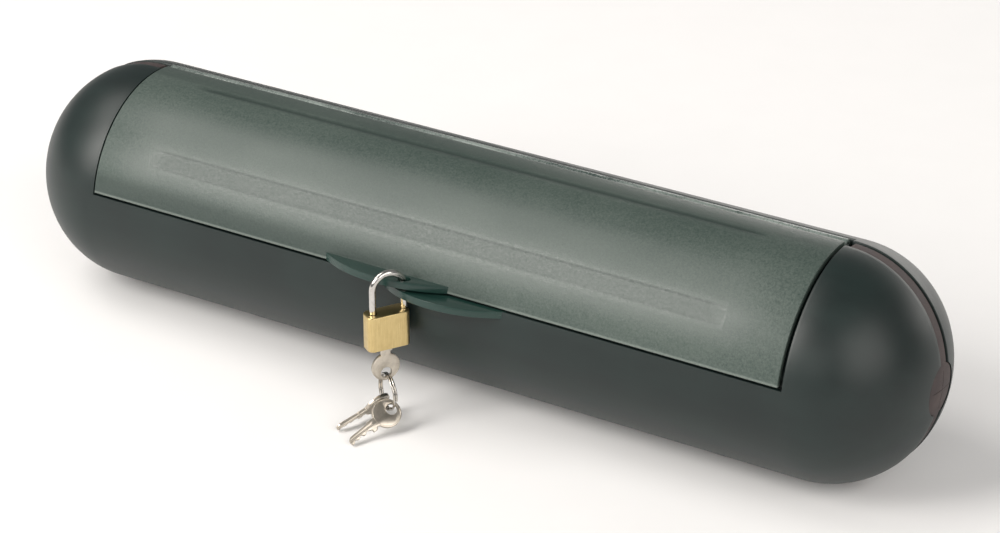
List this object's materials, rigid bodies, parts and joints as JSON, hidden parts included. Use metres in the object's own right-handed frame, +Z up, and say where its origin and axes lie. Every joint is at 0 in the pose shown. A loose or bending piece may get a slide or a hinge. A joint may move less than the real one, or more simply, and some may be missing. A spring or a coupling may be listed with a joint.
{
  "type": "lockable rodent bait station",
  "caption": "Capsule-shaped plastic case with a long hinged lid, rubber-sealed ends, a bait tray with blocks on rods, and a padlock with keys through two lips.",
  "frame": {"origin": "on the flat underside of the base rail, below the middle of the case", "axes": "+X along the case to its right end, -Y to the front where the padlock hangs, +Z up; the seam plane leans back 8.9 degrees"},
  "size_m": [0.4322, 0.1374, 0.1],
  "materials": {
    "case_plastic": "fine matte grain, dark green",
    "lid_plastic": "slightly coarser matte grain, grey-green",
    "seal_rubber": "dull dark brown rubber",
    "steel": "zinc-plated",
    "chrome": "polished",
    "brass": "satin, brushed",
    "nickel": "nickel-plated, stamped",
    "ring_steel": "polished spring steel",
    "tray_plastic": "black moulded",
    "bait": "waxy blue-green bait"
  },
  "bodies": {
    "case": {"back_shell": "case_plastic", "front_shell": "case_plastic", "hinge_pin": "steel", "left_end_seal": "seal_rubber", "right_end_seal": "seal_rubber", "bottom_gasket": "seal_rubber", "case_screw_1": "steel", "case_screw_2": "steel", "case_screw_3": "steel", "case_screw_4": "steel", "case_screw_5": "steel", "case_screw_6": "steel", "bait_tray": "tray_plastic", "front_bait_block_left": "bait", "front_bait_block_right": "bait", "rear_bait_block_left": "bait", "rear_bait_block_right": "bait"},
    "lid": {"lid": "lid_plastic", "lid_gasket": "seal_rubber"},
    "front_rod": {"front_bait_rod": "steel"},
    "rear_rod": {"rear_bait_rod": "steel"},
    "padlock": {"lock_body": "brass", "shackle_spring": "steel"},
    "shackle": {"lock_shackle": "chrome"},
    "plug": {"lock_plug": "brass", "lock_key": "nickel"},
    "latch": {"lock_latch": "steel"},
    "ring": {"split_ring": "ring_steel"},
    "key_a": {"loose_key_a": "nickel"},
    "key_b": {"loose_key_b": "nickel"}
  },
  "joints": [
    {"name": "lid_hinge", "type": "hinge", "parent": "case", "child": "lid", "pos_m": [0, 0.01214, 0.09582], "axis": [-1, 0, 0], "range_deg": [0, 100]},
    {"name": "front_rod_slide", "type": "slide", "parent": "case", "child": "front_rod", "axis": [-1, 0, 0], "range_m": [0, 0.04]},
    {"name": "rear_rod_slide", "type": "slide", "parent": "case", "child": "rear_rod", "axis": [-1, 0, 0], "range_m": [0, 0.04]},
    {"name": "padlock_turn", "type": "hinge", "parent": "case", "child": "padlock", "pos_m": [-0.0016, -0.05308, 0.06074], "axis": [0, 0, 1], "range_deg": [0, 60]},
    {"name": "plug_turn", "type": "hinge", "parent": "padlock", "child": "plug", "pos_m": [-0.00645, -0.06054, 0.0433], "axis": [0, 0, 1], "range_deg": [0, 95]},
    {"name": "latch_slide", "type": "slide", "parent": "padlock", "child": "latch", "axis": [-0.5446, -0.8387, 0], "range_m": [0, 0.0032]},
    {"name": "shackle_release", "type": "slide", "parent": "padlock", "child": "shackle", "axis": [0, 0, 1], "range_m": [0, 0.006]},
    {"name": "ring_swing", "type": "hinge", "parent": "plug", "child": "ring", "pos_m": [-0.00645, -0.06054, 0.0215], "axis": [-0.5843, -0.8115, 0.0078], "range_deg": [0, 20]},
    {"name": "loose_key_a_swing", "type": "hinge", "parent": "ring", "child": "key_a", "pos_m": [-0.00019, -0.06516, 0.00896], "axis": [-0.5183, 0.3658, -0.773], "range_deg": [0, 20]},
    {"name": "loose_key_b_swing", "type": "hinge", "parent": "ring", "child": "key_b", "pos_m": [-0.00873, -0.05903, 0.00752], "axis": [-0.6615, 0.4818, 0.5746], "range_deg": [0, 10]}
  ],
  "couplings": [
    {"joint": "latch_slide", "follows": "shackle_release", "ratio": 0.5},
    {"joint": "plug_turn", "follows": "shackle_release", "rad_per_m": 261.79}
  ]
}
